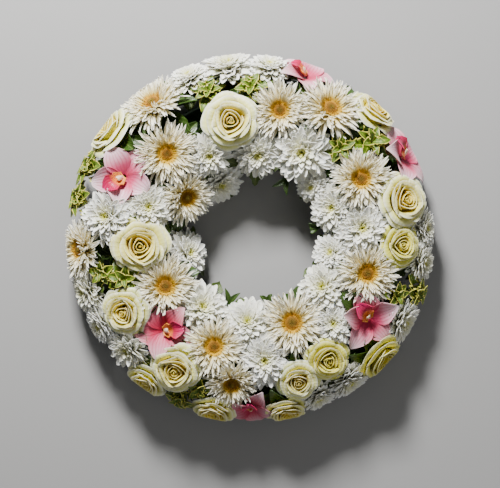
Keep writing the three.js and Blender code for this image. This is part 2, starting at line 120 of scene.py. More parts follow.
wet_foam, tree, shader = new_finish("wet_foam")
place = add_node(tree, "TexCoord").outputs["Object"]
cells = add_node(tree, "TexVoronoi", Vector=place, Scale=950.0).outputs["Distance"]
soaked = noise(tree, place, 28.0, 5.0)
soak_colour = colour_steps(tree, soaked, (0.3, (0.012, 0.04, 0.014)), (0.75, (0.03, 0.085, 0.028)))
# Painted shade: each foam cell is darker towards its middle, as if its hollow lay in shadow
painted_pore_shade = colour_steps(tree, cells, (0.0, (0.45, 0.45, 0.45)), (0.5, (1.0, 1.0, 1.0)))
soaked_with_painted_pores = mix_colours(tree, 1.0, soak_colour, painted_pore_shade, "MULTIPLY")
feed(shader, Base_Color=soaked_with_painted_pores, Roughness=0.95, Normal=bump(tree, cells, 0.7, 0.0008))
give_finish("foam_ring", wet_foam)

# Leafy stems. Shoots of a variegated shrub, with waved leaves that are green inside and cream at
# the edge, pushed into the foam. They go in first, so the places of all blooms are worked out
# here: each has a heart on a flattened tube round the foam, and room up to its neighbours.
FULL_TURN = 2 * math.pi
UP = np.array([0.0, 0.0, 1.0])
RING_REACH = 0.143
FOAM_MIDDLE = 0.019
FOAM_TOP = 0.036
FOAM_HALF_WIDTH = 0.028

# The cushion of hearts: the tube's middle and rise, how far it spreads outwards and inwards, how
# steep it gets, how far out a heart may be, and the share of its slope that a bloom turns by
CUSHION_MIDDLE = 0.026
CUSHION_RISE = 0.045
OUTER_SPREAD = 0.066
INNER_SPREAD = 0.064
STEEPEST = 0.97
FURTHEST_REACH = 0.203
OUTER_FACING = 0.88
INNER_FACING = 0.6

# How blooms make room: the share of two radii at which they stop pushing, how much of the lack is
# made up in a round, and how far one may move, less where it would close the opening
CLOSEST = 0.84
ROUNDS = 60
PUSH = 0.3
LONGEST_MOVE = 0.014
INWARD_MOVE = 0.005

# The walls of a bloom's room
NEIGHBOUR_RANGE = 1.4
HALF_GAP = 0.0003
FOAM_GAP = 0.002
OPENING_MIDDLE = np.array([0.011, -0.006, 0.0])
OPENING_RADIUS = 0.062
OUTER_EDGE = 0.2205
TALLEST = 0.108
LOWEST = 0.001

# Each row is a bloom: bearing in degrees, reach and radius in millimetres, and its lean in degrees
GERBERAS = [
    [122, 184, 39, 6], [132, 138, 35, -6], [153, 98, 32, -4], [183, 185, 34, 0],
    [216, 121, 36, 4], [257, 140, 35, -4], [258, 180, 30, 6], [297, 117, 38, 6],
    [338, 156, 35, 4], [32, 139, 35, 0], [76, 154, 33, -8], [58, 181, 38, 2],
]
ROSES = [
    [[105, 153, 33, 0]], [[144, 188, 33, 6]], [[186, 136, 34, 0]], [[206, 181, 30, 4]],
    [[240, 180, 31, 0]], [[235, 214, 27, 0]], [[255, 209, 27, 0]],
    [[280, 204, 26, 4], [290, 187, 26, 0]], [[303, 167, 26, 0], [314, 194, 31, 4]],
    [[353, 183, 26, 0]], [[12, 182, 33, 0]], [[47, 203, 30, 0]],
]
ORCHIDS = [
    [159, 164, 34, -8], [71, 197, 30, 0], [27, 194, 34, 0],
    [230, 154, 31, 0], [326, 176, 33, 0], [271, 186, 26, 0],
]
SPRAYS = [
    [[110, 208, 26, 0], [94, 192, 33, 0], [80, 211, 25, 0]],
    [[129, 82, 27, 0], [112, 104, 25, 0], [87, 103, 27, 0]],
    [[57, 123, 35, 0], [32, 100, 19, 0], [20, 109, 27, 0]],
    [[358, 118, 31, 0], [342, 103, 23, 0], [323, 109, 30, 0], [319, 151, 25, 0]],
    [[267, 106, 30, 0], [279, 157, 30, 0]],
    [[195, 82, 28, 0], [234, 107, 30, 0]],
    [[165, 131, 27, 0], [174, 179, 33, 0]],
    [[197, 211, 27, 0], [208, 215, 27, 0], [219, 187, 28, 0]],
    [[303, 194, 28, 0], [292, 212, 24, 0]],
    [[331, 206, 29, 0], [348, 209, 25, 0], [0, 209, 26, 0]],
]
LEAFY_STEMS = [
    [[159, 203, 25], [168, 207, 23]], [[107, 186, 19], [86, 171, 20]],
    [[39, 171, 23], [44, 148, 18]], [[341, 200, 20], [340, 178, 17]],
    [[193, 163, 20], [196, 186, 17]], [[243, 207, 20], [250, 199, 17]],
]

# Four of the sprays also carry a pair of dark pointed leaves, which have a room of their own
SPRAY_BLADES = {2: [59, 84, 15], 3: [10, 84, 15], 5: [283, 86, 14], 6: [249, 86, 14]}


def polar(bearing, reach, height):
    angle = math.radians(bearing)
    return np.array([reach * math.cos(angle), reach * math.sin(angle), height])


def unit(vector):
    return vector / np.linalg.norm(vector)


def make_site(bearing, reach, radius, lean):
    """A bloom's heart on the cushion, the way it faces, and where its stem comes out of the foam ring."""
    spread = OUTER_SPREAD if reach > RING_REACH else INNER_SPREAD
    share = min(max((reach - RING_REACH) / spread, -STEEPEST), STEEPEST)
    slope = math.asin(share)
    out = polar(bearing, 1, 0)
    side = np.cross(UP, out)
    heart = polar(bearing, reach, CUSHION_MIDDLE + CUSHION_RISE * math.cos(slope))
    facing = slope * (OUTER_FACING if share > 0 else INNER_FACING) + math.radians(lean)
    axis = out * math.sin(facing) + UP * math.cos(facing)
    ring = polar(bearing, RING_REACH, FOAM_MIDDLE)
    return SimpleNamespace(
        bearing=bearing, reach=reach, radius=radius, lean=lean, slope=slope, out=out, side=side,
        heart=heart, axis=axis, across=np.cross(side, axis), ring=ring, rise=unit(heart - ring))


def jostle(rows):
    """Blooms that stand too close push each other along the cushion until each has room."""
    first = [make_site(row[0], row[1] / 1000, row[2] / 1000, row[3] if len(row) > 3 else 0) for row in rows]
    sites = first
    radii = np.array([site.radius for site in sites])
    room = CLOSEST * (radii[:, None] + radii[None, :])
    for _ in range(ROUNDS):
        hearts = np.array([site.heart for site in sites])
        apart = hearts[:, None, :] - hearts[None, :, :]
        distance = np.linalg.norm(apart, axis=2) + np.eye(len(sites))
        lack = np.maximum(room - distance, 0) * (1 - np.eye(len(sites)))
        pushes = (apart / distance[..., None] * lack[..., None] * PUSH).sum(axis=1)
        moved = []
        for site, push, start in zip(sites, pushes, first):
            along = math.degrees(push @ site.side / site.reach)
            outward = push @ site.out * math.cos(site.slope) - push[2] * math.sin(site.slope)
            swing = math.degrees(LONGEST_MOVE / start.reach)
            inward = INWARD_MOVE if start.reach < RING_REACH else LONGEST_MOVE
            nearest = min(start.reach, FURTHEST_REACH) - inward
            furthest = min(start.reach + LONGEST_MOVE, FURTHEST_REACH)
            bearing = min(max(site.bearing + along, start.bearing - swing), start.bearing + swing)
            reach = min(max(site.reach + outward, nearest), furthest)
            moved.append(make_site(bearing, reach, site.radius, site.lean))
        sites = moved
    return sites


def foam_face(rise, out):
    return math.hypot(rise @ out * FOAM_HALF_WIDTH, rise[2] * (FOAM_TOP - FOAM_MIDDLE))


def raise_walls(sites):
    """Flat walls halfway to each neighbour, and at the foam, the surface, the outer edge and the opening."""
    for site in sites:
        normals, limits = [], []
        for other in sites:
            distance = np.linalg.norm(other.heart - site.heart)
            if other is site or distance > NEIGHBOUR_RANGE * (site.radius + other.radius):
                continue
            normals.append((other.heart - site.heart) / distance)
            limits.append(distance * site.radius / (site.radius + other.radius) - HALF_GAP)
        site.neighbours = len(normals)
        inward = unit((OPENING_MIDDLE - site.heart) * [1, 1, 0])
        foam = site.ring + site.rise * (foam_face(site.rise, site.out) + FOAM_GAP)
        for normal, point in (
                (inward, OPENING_MIDDLE - inward * OPENING_RADIUS), (-site.rise, foam),
                (site.out, polar(site.bearing, OUTER_EDGE, 0)), (UP, UP * TALLEST), (-UP, UP * LOWEST)):
            normals.append(normal)
            limits.append((point - site.heart) @ normal)
        site.normals, site.limits = np.array(normals), np.array(limits)


def turn_draw(seed):
    """The draw from 0 to 1 that the frame's own bloom is turned by."""
    state = (seed * 7919 + 104729) & 0xFFFFFFFF
    return ((state * 1664525 + 1013904223) & 0xFFFFFFFF) / 2 ** 32


plants = []
for kind, stems in (("gerbera", [[row] for row in GERBERAS]), ("rose_stem", ROSES),
                    ("orchid", [[row] for row in ORCHIDS]), ("chrysanthemum_spray", SPRAYS),
                    ("leafy_stem", LEAFY_STEMS)):
    for number, rows in enumerate(stems, 1):
        blades = [SPRAY_BLADES[number]] if stems is SPRAYS and number in SPRAY_BLADES else []
        plants.append(SimpleNamespace(
            kind=kind, number=number, node=f"{kind}_{number:02d}", rows=rows, blades=blades))
all_sites = jostle([row for plant in plants for row in plant.rows + plant.blades])
raise_walls(all_sites)
for seed, site in enumerate(all_sites, 1):
    site.seed = seed
    site.turn = FULL_TURN * turn_draw(seed)
in_line = iter(all_sites)
for plant in plants:
    plant.head_sites = [next(in_line) for _ in plant.rows]
    plant.blade_sites = [next(in_line) for _ in plant.blades]
    plant.sites = plant.head_sites + plant.blade_sites


def of_kind(kind):
    return [plant for plant in plants if plant.kind == kind]


def deselect():
    bpy.ops.object.select_all(action="DESELECT")


def pick(pieces):
    """Selects these pieces alone, and makes the first of them active."""
    deselect()
    for piece in pieces:
        piece.select_set(True)
    bpy.context.view_layer.objects.active = pieces[0]


def join(pieces, name):
    pick(pieces)
    if len(pieces) > 1:
        bpy.ops.object.join()
    whole = bpy.context.view_layer.objects.active
    whole.name = whole.data.name = name
    return whole


def twin_of(piece):
    twin = piece.copy()
    twin.data = piece.data.copy()
    bpy.context.collection.objects.link(twin)
    return twin


def room_of(site, overlap):
    limits = site.limits.copy()
    limits[:site.neighbours] *= overlap
    return limits


# The share of its room that a bloom or leaf fills freely. Beyond it, points are drawn in softly
FREE = 0.9
LEAF_OVERLAP = 1.3


def pull_in(site, offset, overlap):
    """Draws in offsets from a heart so that none passes a wall, or only a little past a neighbour's."""
    share = np.max(offset @ site.normals.T / room_of(site, overlap), axis=1)
    rest = 1 - FREE
    kept = FREE + rest * (1 - np.exp((FREE - share) / rest))
    return offset * np.where(share > FREE, kept / np.maximum(share, 1e-9), 1)[:, None]


def mesh_points(mesh):
    points = np.empty(len(mesh.vertices) * 3, np.float32)
    mesh.vertices.foreach_get("co", points)
    return points.reshape(-1, 3).astype(float)


def put_points(mesh, points):
    mesh.vertices.foreach_set("co", points.astype(np.float32).ravel())
    mesh.update()


def petal(name, finish, across, rows, cup=0.0):
    """A blade 1 long, shaped row by row: share of the length, half the width, and the height there."""
    deselect()
    bpy.ops.mesh.primitive_grid_add(
        x_subdivisions=across, y_subdivisions=len(rows) - 1, size=2, calc_uvs=True)
    blade = bpy.context.object
    blade.name = name
    blade.data.materials.append(finish)
    bpy.ops.object.mode_set(mode="EDIT")
    bpy.ops.mesh.select_mode(type="VERT")
    shape = bmesh.from_edit_mesh(blade.data)
    levels = sorted({round(vert.co.y, 4) for vert in shape.verts})
    lines = [[vert for vert in shape.verts if abs(vert.co.y - level) < 1e-3] for level in levels]
    for line, level, (share, half_width, height) in zip(lines, levels, rows):
        bpy.ops.mesh.select_all(action="DESELECT")
        for vert in line:
            vert.select_set(True)
        shape.select_flush_mode()
        bpy.ops.transform.resize(value=(half_width, 1, 1), center_override=(0, level, 0))
        bpy.ops.transform.translate(value=(0, share - level, height))
        for vert in line:
            vert.co.z += cup * (vert.co.x / max(half_width, 1e-6)) ** 2 * half_width
    bmesh.update_edit_mesh(blade.data)
    bpy.ops.object.mode_set(mode="OBJECT")
    return blade


def copy_blade(blade, tone):
    twin = twin_of(blade)
    tones = twin.data.attributes.new("tone", "FLOAT", "POINT")
    tones.data.foreach_set("value", np.full(len(twin.data.vertices), tone, np.float32))
    return twin


def lay_leaf(blade, site, start, along, length, width, tone):
    """Places a leaf by its base and direction, and bends it clear of the walls."""
    twin = copy_blade(blade, tone)
    along = unit(along)
    flat = np.cross(along, site.axis)
    flat = unit(flat) if np.linalg.norm(flat) > 0.2 else site.side
    face = np.cross(flat, along)
    x, y, z = mesh_points(twin.data).T
    points = start + np.outer(y * length, along) + np.outer(x * width, flat) + np.outer(z * length, face)
    put_points(twin.data, site.heart + pull_in(site, points - site.heart, LEAF_OVERLAP))
    return twin


# Stems: how far below its room's heart a pair of pointed leaves branches off, how far above the
# foam branches fork, how far the foot is from the ring's middle line, how far a shoot's stem
# rises past its heart, and how wide a head's calyx is as a share of the head
BLADE_NECK = 0.007
FORK_GAP = 0.009
FOOT_RISE = 0.012
SHOOT_TIP = 0.004
CALYX_SHARE = 0.2
CALYX_DEPTH = 0.003
LEAF_THICKNESS = 0.0005
SMOOTH_ANGLE = 50


def stem_paths(plant, neck_drop, thick, sunk):
    """The branches of a plant: each neck to the fork, and the first of them on to the stem's foot."""
    drops = [neck_drop] * len(plant.head_sites) + [BLADE_NECK] * len(plant.blade_sites)
    necks = [site.heart - site.axis * drop for site, drop in zip(plant.sites, drops)]
    ring, fork = plant.sites[0].ring, necks[0]
    if len(necks) > 1:
        middle = np.mean(necks, axis=0)
        bearing = math.degrees(math.atan2(middle[1], middle[0]))
        ring = polar(bearing, RING_REACH, FOAM_MIDDLE)
        rise = unit(middle - ring)
        fork = ring + rise * (foam_face(rise, polar(bearing, 1, 0)) + FORK_GAP)
    foot = ring + unit(fork - ring) * FOOT_RISE
    leafy = plant.kind == "leafy_stem"
    paths = []
    for index, (site, neck) in enumerate(zip(plant.sites, necks)):
        top = site.heart - site.axis * (-SHOOT_TIP if leafy else sunk)
        bare = leafy or index >= len(plant.head_sites)
        flare = thick * 0.8 if bare else CALYX_SHARE * site.radius
        calyx = site.heart - site.axis * (sunk + CALYX_DEPTH)
        path = [(top, flare), (calyx, flare * 0.8), (neck, thick * 1.1)]
        if len(necks) > 1:
            path.append((fork, thick))
        if index == 0:
            path.append((foot, thick))
        paths.append(path)
    return paths


def grow_stems(paths):
    """Round stems along the paths, each point with its own half thickness."""
    curve = bpy.data.curves.new("stems", "CURVE")
    curve.dimensions = "3D"
    curve.bevel_depth = 1.0
    curve.bevel_resolution = 2
    curve.use_fill_caps = True
    for path in paths:
        branch = curve.splines.new("POLY")
        branch.points.add(len(path) - 1)
        for point, (at, thick) in zip(branch.points, path):
            point.co = (*at, 1)
            point.radius = thick
    stems = bpy.data.objects.new("stems", curve)
    bpy.context.collection.objects.link(stems)
    pick([stems])
    bpy.ops.object.convert(target="MESH")
    stems = bpy.context.object
    stems.data.materials.append(green_stem)
    stems.data.shade_smooth()
    return stems


def thicken(piece, thickness):
    wall = piece.modifiers.new("thickness", "SOLIDIFY")
    wall.thickness = thickness
    wall.offset = 0
    pick([piece])
    bpy.ops.object.modifier_apply(modifier="thickness")
    bpy.ops.object.shade_smooth_by_angle(angle=math.radians(SMOOTH_ANGLE))


def settle_in(piece, node):
    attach(piece, "root")
    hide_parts(node)


def add_greens(plant, leaves, name, neck_drop, thick, sunk=0.001):
    """A plant's leaves and stems as one piece. The stem's top is sunk a little below each heart."""
    greens = join(leaves, "greens")
    thicken(greens, LEAF_THICKNESS)
    stems = grow_stems(stem_paths(plant, neck_drop, thick, sunk))
    settle_in(join([greens, stems], f"{name}_{plant.number:02d}"), plant.node)


def work_out(tree, operation, *values):
    """One step of arithmetic on values or on the outputs of other nodes."""
    step = add_node(tree, "Math", operation=operation)
    for socket, value in zip(step.inputs, values):
        plug(socket, value)
    return step.outputs["Value"]


# The fine lines that run along petals and wander a little, from a surface's own map
veins = bpy.data.node_groups.new("long_veins", "ShaderNodeTree")
veins.interface.new_socket("Map", in_out="INPUT", socket_type="NodeSocketVector")
veins.interface.new_socket("Lines", in_out="INPUT", socket_type="NodeSocketFloat")
veins.interface.new_socket("Mask", in_out="OUTPUT", socket_type="NodeSocketFloat")
given = veins.nodes.new("NodeGroupInput").outputs
across = add_node(veins, "SeparateXYZ", Vector=given["Map"]).outputs["X"]
wander = work_out(veins, "MULTIPLY", noise(veins, given["Map"], 3.0, 2.0), 0.12)
lines = work_out(veins, "MULTIPLY", work_out(veins, "ADD", across, wander), given["Lines"])
wave = work_out(veins, "SINE", lines)
crest = add_node(veins, "MapRange", Value=wave, From_Min=0.1).outputs["Result"]
plug(veins.nodes.new("NodeGroupOutput").inputs["Mask"], crest)


def petal_finish(name, along, vein_colour, vein_share, vein_lines, roughness, glow, tone_colour, tone_share):
    """A petal's finish: its colours from base to tip, its veins, and each petal's own tone."""
    finish, tree, shader = new_finish(name)
    own_map = add_node(tree, "UVMap").outputs["UV"]
    base_to_tip = add_node(tree, "SeparateXYZ", Vector=own_map).outputs["Y"]
    body = colour_steps(tree, base_to_tip, *along)
    vein = add_node(tree, "Group", node_tree=veins, Map=own_map, Lines=vein_lines).outputs["Mask"]
    vein_amount = work_out(tree, "MULTIPLY", vein, vein_share)
    veined = mix_colours(tree, vein_amount, body, (*vein_colour, 1))
    tone = add_node(tree, "Attribute", attribute_name="tone").outputs["Fac"]
    tone_amount = work_out(tree, "MULTIPLY", tone, tone_share)
    toned = mix_colours(tree, tone_amount, veined, (*tone_colour, 1))
    mottle = noise(tree, add_node(tree, "TexCoord").outputs["Object"], 220.0, 4.0)
    mottle_shade = colour_steps(tree, mottle, (0.3, (0.93, 0.92, 0.88)), (0.6, (1, 1, 1)))
    feed(shader, Base_Color=mix_colours(tree, 1.0, toned, mottle_shade, "MULTIPLY"), Roughness=roughness,
         Normal=bump(tree, vein, 0.35, 0.0004), Specular_IOR_Level=0.3, Sheen_Weight=0.15,
         Subsurface_Weight=glow, Subsurface_Radius=(0.004, 0.003, 0.002), Subsurface_Scale=1.0)
    return finish


def leaf_finish(name, inside, edge, rib, edge_start, roughness):
    """A leaf's finish: green inside, another colour towards the edge, and a pale rib and side veins."""
    finish, tree, shader = new_finish(name)
    own_map = add_node(tree, "UVMap").outputs["UV"]
    split = add_node(tree, "SeparateXYZ", Vector=own_map).outputs
    sideways = work_out(tree, "ABSOLUTE", work_out(tree, "SUBTRACT", split["X"], 0.5))
    blots = work_out(tree, "MULTIPLY_ADD", noise(tree, own_map, 5.0, 3.0), 0.22, -0.11)
    body = colour_steps(tree, work_out(tree, "ADD", sideways, blots), (0.0, rib), (0.03, inside),
                        (edge_start, inside), (edge_start + 0.06, edge))
    slant = work_out(tree, "MULTIPLY_ADD", sideways, -0.8, split["Y"])
    side_veins = work_out(tree, "SINE", work_out(tree, "MULTIPLY", slant, 60.0))
    vein_shade = colour_steps(tree, side_veins, (0.0, (1, 1, 1)), (0.85, (1, 1, 1)), (1.0, (1.25, 1.25, 1.1)))
    feed(shader, Base_Color=mix_colours(tree, 1.0, body, vein_shade, "MULTIPLY"), Roughness=roughness,
         Normal=bump(tree, side_veins, 0.3, 0.0005),
         Subsurface_Weight=0.08, Subsurface_Radius=(0.002, 0.004, 0.001))
    return finish


green_stem, tree, shader = new_finish("green_stem")
streaks = noise(tree, add_node(tree, "TexCoord").outputs["Object"], 120.0, 4.0)
streak_colour = colour_steps(tree, streaks, (0.35, (0.05, 0.11, 0.025)), (0.65, (0.12, 0.2, 0.05)))
feed(shader, Base_Color=streak_colour, Roughness=0.5, Normal=bump(tree, streaks, 0.3, 0.0004))

variegated_leaf = leaf_finish(
    "variegated_leaf", inside=(0.085, 0.15, 0.005), edge=(0.6, 0.56, 0.1), rib=(0.28, 0.33, 0.04),
    edge_start=0.37, roughness=0.4)
waved_leaf = petal("waved_leaf", variegated_leaf, 8, [
    (0.0, 0.04, 0.0), (0.08, 0.1, 0.01), (0.18, 0.32, 0.03), (0.28, 0.4, 0.045), (0.4, 0.5, 0.05),
    (0.52, 0.46, 0.045), (0.64, 0.48, 0.03), (0.76, 0.36, 0.0), (0.88, 0.22, -0.06), (1.0, 0.02, -0.15),
])
points = mesh_points(waved_leaf.data)
points[:, 2] += 0.09 * np.sin(points[:, 1] * 21) * np.abs(points[:, 0]) * 2 + 0.5 * points[:, 0] ** 2
put_points(waved_leaf.data, points)

LEAVES_ON_A_SHOOT = 12
LEAF_TO_LEAF = 0.382
SHOOT_NECK = 0.009
SHOOT_RISE = 0.35
WAVED_LEAF_WIDTH = 0.54
for plant in of_kind("leafy_stem"):
    leaves = []
    for site in plant.sites:
        chance = random.Random(site.seed)
        neck = site.heart - site.axis * SHOOT_NECK
        top = site.heart + site.axis * SHOOT_RISE * site.radius
        for leaf in range(LEAVES_ON_A_SHOOT):
            share = leaf / (LEAVES_ON_A_SHOOT - 1)
            turn = FULL_TURN * (leaf * LEAF_TO_LEAF + 0.05 * chance.random())
            along = (site.across * math.cos(turn) + site.side * math.sin(turn)
                     + site.axis * (0.15 + 0.9 * share))
            start = neck + (top - neck) * (0.25 + 0.7 * share)
            length = site.radius * (1.5 - 0.75 * share) * chance.uniform(0.85, 1.05)
            leaves.append(lay_leaf(
                waved_leaf, site, start, along, length, WAVED_LEAF_WIDTH * length, chance.random()))
    add_greens(plant, leaves, "leafy_shoots", neck_drop=SHOOT_NECK, thick=0.0016)

# Chrysanthemum sprays. White double blooms on branching stems, each with seven layers of pointed
# petals that open from a small greenish middle, and dull green leaves below the heads. A plain
# stem of each spray goes into the foam.
def lay(blade, around, out, height, lift, roll, length, width, tone):
    """One more petal of a bloom, turned round the bloom's own axis and lifted by some degrees."""
    twin = copy_blade(blade, tone)
    twin.scale = (width, length, length)
    twin.rotation_euler = (math.radians(lift), roll, around - math.pi / 2)
    twin.location = (out * math.cos(around), out * math.sin(around), height)
    return twin


def gather(petals, name):
    pick(petals)
    bpy.ops.object.transform_apply(location=True, rotation=True, scale=True)
    return join(petals, name)


def retone(piece, times, plus):
    tones = piece.data.attributes["tone"].data
    values = np.empty(len(tones), np.float32)
    tones.foreach_get("value", values)
    tones.foreach_set("value", values * times + plus)


# How squarely a petal must point at a wall to feel it, how near the wall its tip may come, the
# reach where no wall is felt, the least that a petal is shortened to, and how tones vary
SQUARELY = 0.05
TIP_SHARE = 0.99
NO_WALL = 1.0
SHORTEST = 0.55
TONE_SPREAD = 0.2


def seat(bloom, site, reach, overlap, proud, standing):
    """A copy of a bloom on its own heart: petals that lack room are shortened and stand up more."""
    head = twin_of(bloom)
    x, y, z = mesh_points(head.data).T * site.radius
    turned = np.arctan2(y, x) + site.turn
    ways = np.outer(np.cos(turned), site.across) + np.outer(np.sin(turned), site.side)
    closing = ways @ site.normals.T
    reaches = np.where(closing > SQUARELY, room_of(site, overlap) / np.maximum(closing, SQUARELY), NO_WALL)
    share = np.minimum(1, TIP_SHARE * reaches.min(axis=1) / (reach * site.radius))
    far = np.hypot(x, y)
    outward = far / (reach * site.radius)
    z = z + far * np.sqrt(1 - share ** 2) * standing * outward
    spared = np.maximum(share, SHORTEST)
    near = far * (1 - (1 - spared) * np.minimum(outward, 1)) * share / spared
    offset = ways * near[:, None] + np.outer(z + proud, site.axis)
    put_points(head.data, site.heart + pull_in(site, offset, overlap))
    retone(head, 1, TONE_SPREAD * random.Random(site.seed).random())
    return head


def collar(blade, site, count):
    """Two rings of leaves just below a head, which fill the room between it and its neighbours."""
    chance = random.Random(site.seed)
    leaves = []
    for leaf in range(2 * count):
        lower = leaf % 2
        turn = FULL_TURN * (leaf / 2 + 0.4 * chance.random()) / count + site.turn
        along = (site.across * math.cos(turn) + site.side * math.sin(turn)
                 + site.axis * (0.1 - 0.55 * lower - 0.2 * chance.random()))
        length = site.radius * (1.4 + 0.35 * chance.random())
        start = site.heart - site.axis * ((0.2 + 0.14 * lower) * site.radius)
        width = (0.42 + 0.1 * lower) * length
        leaves.append(lay_leaf(blade, site, start, along, length, width, chance.random()))
    return leaves


# Painted shade in part: each petal grows darker and greener towards its base. The green tint is the petal's
# own, and the darkening is painted shade where the petals crowd together.
white_petal = petal_finish(
    "white_chrysanthemum",
    [(0.0, (0.36, 0.37, 0.12)), (0.25, (0.66, 0.66, 0.46)), (0.5, (0.88, 0.88, 0.82)),
     (0.85, (0.96, 0.96, 0.95))],
    vein_colour=(0.8, 0.8, 0.76), vein_share=0.3, vein_lines=26.0, roughness=0.5, glow=0.15,
    tone_colour=(0.86, 0.82, 0.3), tone_share=0.6)
green_petal = petal_finish(
    "young_chrysanthemum", [(0.0, (0.3, 0.34, 0.02)), (0.5, (0.66, 0.62, 0.1)), (1.0, (0.88, 0.83, 0.42))],
    vein_colour=(0.5, 0.54, 0.12), vein_share=0.3, vein_lines=20.0, roughness=0.55, glow=0.15,
    tone_colour=(0.6, 0.62, 0.12), tone_share=0.4)
plain_leaf = leaf_finish(
    "plain_leaf", inside=(0.055, 0.09, 0.01), edge=(0.07, 0.11, 0.012), rib=(0.14, 0.18, 0.04),
    edge_start=0.47, roughness=0.5)
dark_leaf = leaf_finish(
    "dark_leaf", inside=(0.03, 0.065, 0.008), edge=(0.045, 0.09, 0.012), rib=(0.09, 0.14, 0.03),
    edge_start=0.47, roughness=0.38)
mum_petal = petal("mum_petal", white_petal, 3, [
    (0.0, 0.05, 0.0), (0.25, 0.095, 0.035), (0.52, 0.135, 0.06), (0.76, 0.128, 0.05),
    (0.92, 0.075, 0.035), (1.0, 0.016, 0.03),
], cup=0.45)
young_petal = petal("young_petal", green_petal, 4, [
    (0.0, 0.06, 0.0), (0.3, 0.13, 0.03), (0.65, 0.17, 0.03), (0.9, 0.12, -0.03), (1.0, 0.05, -0.08),
], cup=0.5)
lobed_leaf = petal("lobed_leaf", plain_leaf, 4, [
    (0.0, 0.03, 0.0), (0.1, 0.08, 0.0), (0.24, 0.34, 0.02), (0.32, 0.24, 0.025), (0.46, 0.46, 0.03),
    (0.55, 0.3, 0.03), (0.7, 0.4, 0.01), (0.8, 0.22, -0.01), (0.92, 0.16, -0.03), (1.0, 0.02, -0.05),
], cup=0.2)
pointed_leaf = petal("pointed_leaf", dark_leaf, 4, [
    (0.0, 0.05, 0.0), (0.12, 0.3, 0.01), (0.3, 0.47, 0.03), (0.5, 0.48, 0.03), (0.7, 0.36, 0.01),
    (0.86, 0.19, -0.03), (0.95, 0.07, -0.07), (1.0, 0.01, -0.09),
], cup=0.25)

# Layers of the bloom: petals, where they start from the axis and how high, length, width and lift
MUM_LAYERS = [
    (12, 0.05, 0.13, 0.3, 0.34, 74), (15, 0.08, 0.12, 0.44, 0.62, 61), (17, 0.1, 0.09, 0.58, 0.8, 48),
    (19, 0.12, 0.05, 0.72, 0.94, 36), (21, 0.14, 0.0, 0.86, 1.02, 25), (23, 0.15, -0.06, 0.97, 1.08, 13),
    (24, 0.16, -0.13, 1.04, 1.12, 2),
]
MIDDLE_PETALS = 9
GOLDEN_ANGLE = 2.4
PETAL_THICKNESS = 0.0005
MUM_FIT = {"reach": 1.22, "overlap": 1.3, "proud": -0.001, "standing": 0.1}
mum_blooms = []
for version in range(3):
    chance = random.Random(40 + version)
    petals = []
    for index in range(MIDDLE_PETALS):
        petals.append(lay(
            young_petal, GOLDEN_ANGLE * index, out=0.02 + 0.012 * index ** 0.5, height=0.12,
            lift=82 - 5 * index ** 0.5, roll=0, length=0.26, width=0.26, tone=chance.random()))
    for layer, (count, out, height, length, width, lift) in enumerate(MUM_LAYERS):
        for index in range(count):
            around = FULL_TURN * (index + 0.5 * layer + 0.22 * chance.random()) / count
            petals.append(lay(
                mum_petal if layer > 0 else young_petal, around, out, height,
                lift=lift + chance.uniform(-7, 7), roll=chance.uniform(-0.4, 0.4),
                length=length * chance.uniform(0.88, 1.06), width=width,
                tone=max(0, 0.75 - 0.25 * layer) + 0.12 * chance.random()))
    mum_blooms.append(gather(petals, f"mum_bloom_{version}"))

for plant in of_kind("chrysanthemum_spray"):
    heads = [seat(mum_blooms[site.seed % 3], site, **MUM_FIT) for site in plant.head_sites]
    blooms = join(heads, f"chrysanthemum_blooms_{plant.number:02d}")
    thicken(blooms, PETAL_THICKNESS)
    settle_in(blooms, plant.node)
    leaves = [leaf for site in plant.head_sites for leaf in collar(lobed_leaf, site, 5)]
    for site in plant.blade_sites:
        start = site.heart - site.rise * 0.0016
        length, width = 1.5 * site.radius, 0.5 * site.radius
        for swing in (-0.5, 0.45):
            along = site.side * swing - site.out + UP * 0.25
            leaves.append(lay_leaf(pointed_leaf, site, start, along, length, width, tone=0.5))
    add_greens(plant, leaves, "chrysanthemum_greens", neck_drop=0.010, thick=0.002)

# Gerberas. Spider gerberas with five layers of narrow cream rays that curl and cross a little,
# round a low eye of golden-brown florets, each head on a bare stem pushed into the foam.
# Painted shade in part: each ray grows darker and golden-brown towards its base. The gold is the ray's own,
# and the darkening is painted shade among the crowded rays.
cream_ray = petal_finish(
    "cream_gerbera",
    [(0.0, (0.5, 0.34, 0.04)), (0.26, (0.74, 0.6, 0.22)), (0.5, (0.89, 0.84, 0.6)),
     (0.84, (0.97, 0.96, 0.88))],
    vein_colour=(0.78, 0.72, 0.5), vein_share=0.3, vein_lines=26.0, roughness=0.5, glow=0.15,
    tone_colour=(0.82, 0.6, 0.07), tone_share=0.5)
ray = petal("ray", cream_ray, 2, [
    (0.0, 0.03, 0.0), (0.14, 0.042, 0.02), (0.34, 0.054, 0.045), (0.56, 0.06, 0.05),
    (0.75, 0.053, 0.035), (0.9, 0.032, 0.005), (1.0, 0.004, -0.03),
], cup=0.5)
curled_ray = petal("curled_ray", cream_ray, 2, [
    (0.0, 0.03, 0.0), (0.14, 0.042, 0.02), (0.34, 0.052, 0.05), (0.56, 0.056, 0.08),
    (0.74, 0.048, 0.13), (0.88, 0.032, 0.2), (0.97, 0.005, 0.27),
], cup=0.65)
bent_rays = []
for template, bend in ((ray, 0.11), (ray, -0.11), (curled_ray, 0.13), (curled_ray, -0.13)):
    bent = twin_of(template)
    points = mesh_points(bent.data)
    points[:, 0] += bend * points[:, 1] ** 2
    put_points(bent.data, points)
    bent_rays.append(bent)

